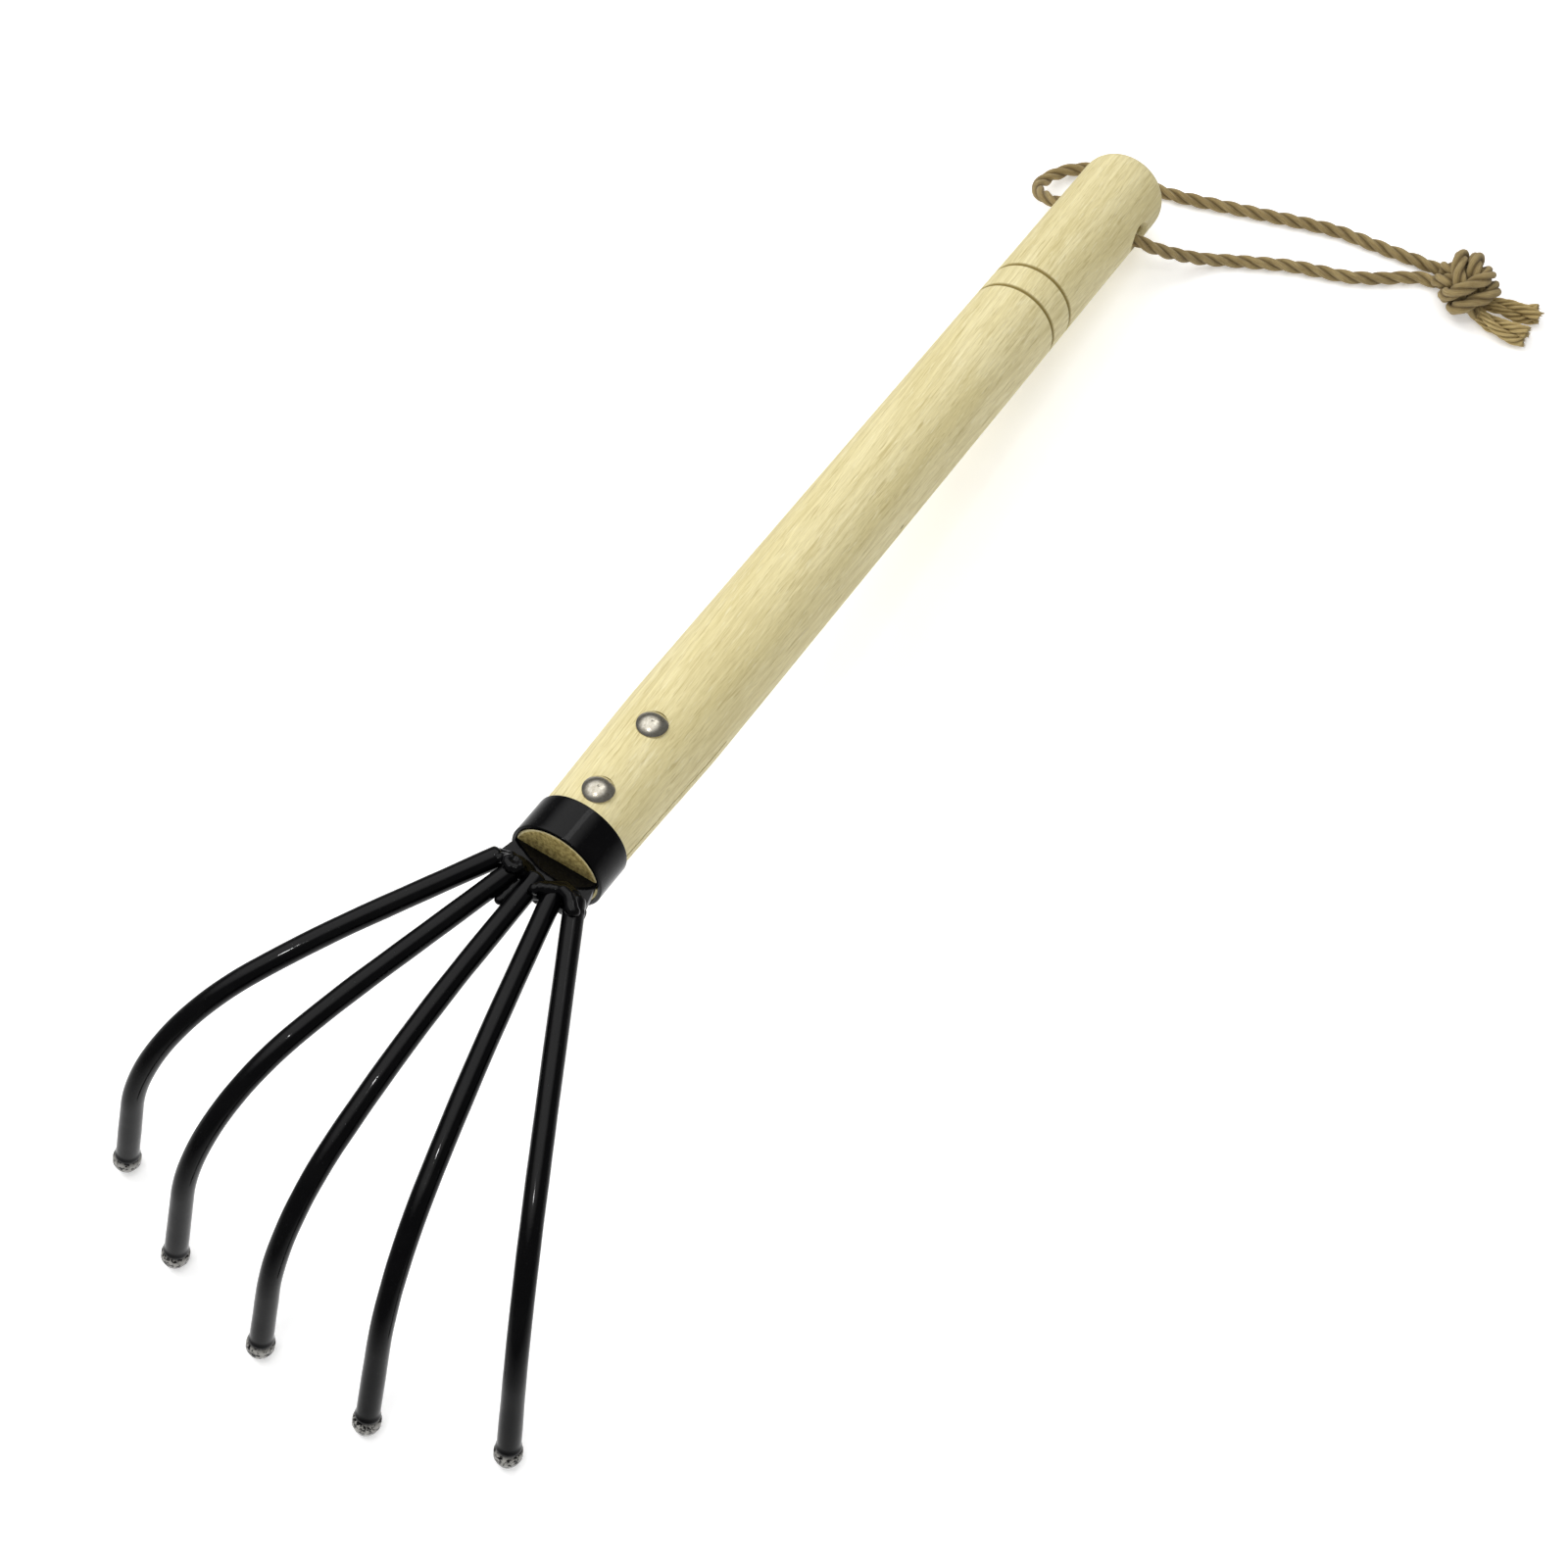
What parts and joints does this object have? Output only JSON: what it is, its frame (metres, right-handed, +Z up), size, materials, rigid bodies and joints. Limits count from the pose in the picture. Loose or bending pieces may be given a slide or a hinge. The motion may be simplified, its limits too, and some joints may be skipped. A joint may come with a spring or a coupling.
{
  "type": "hand rake",
  "caption": "Short hand rake: a turned wooden handle with a steel ferrule, a riveted tang and fanned round-wire tines bent down to blunt tips, with a knotted hanging cord.",
  "frame": {"origin": "on the ground, under the middle of the tool's bounding box measured without its cord", "axes": "+X from the butt towards the tines, +Z up, with the tool lying on its tine tips and the lower edge of its butt; the handle's axis rises 7.5 degrees towards the tines"},
  "size_m": [0.4839, 0.2018, 0.0685],
  "materials": {
    "beech": "satin",
    "black_paint": "gloss",
    "rivet_steel": "polished",
    "jute": "rough"
  },
  "bodies": {
    "root": {"handle": "beech", "ferrule": "black_paint", "tang_plate": "black_paint", "tine_1": "black_paint", "tine_2": "black_paint", "tine_3": "black_paint", "tine_4": "black_paint", "tine_5": "black_paint", "weld_left": "black_paint", "weld_right": "black_paint", "rivet_front": "rivet_steel", "rivet_rear": "rivet_steel", "cord_right": "jute", "cord_left": "jute", "cord_knot": "jute", "cord_tail_upper": "jute", "cord_tail_lower": "jute"}
  },
  "joints": []
}
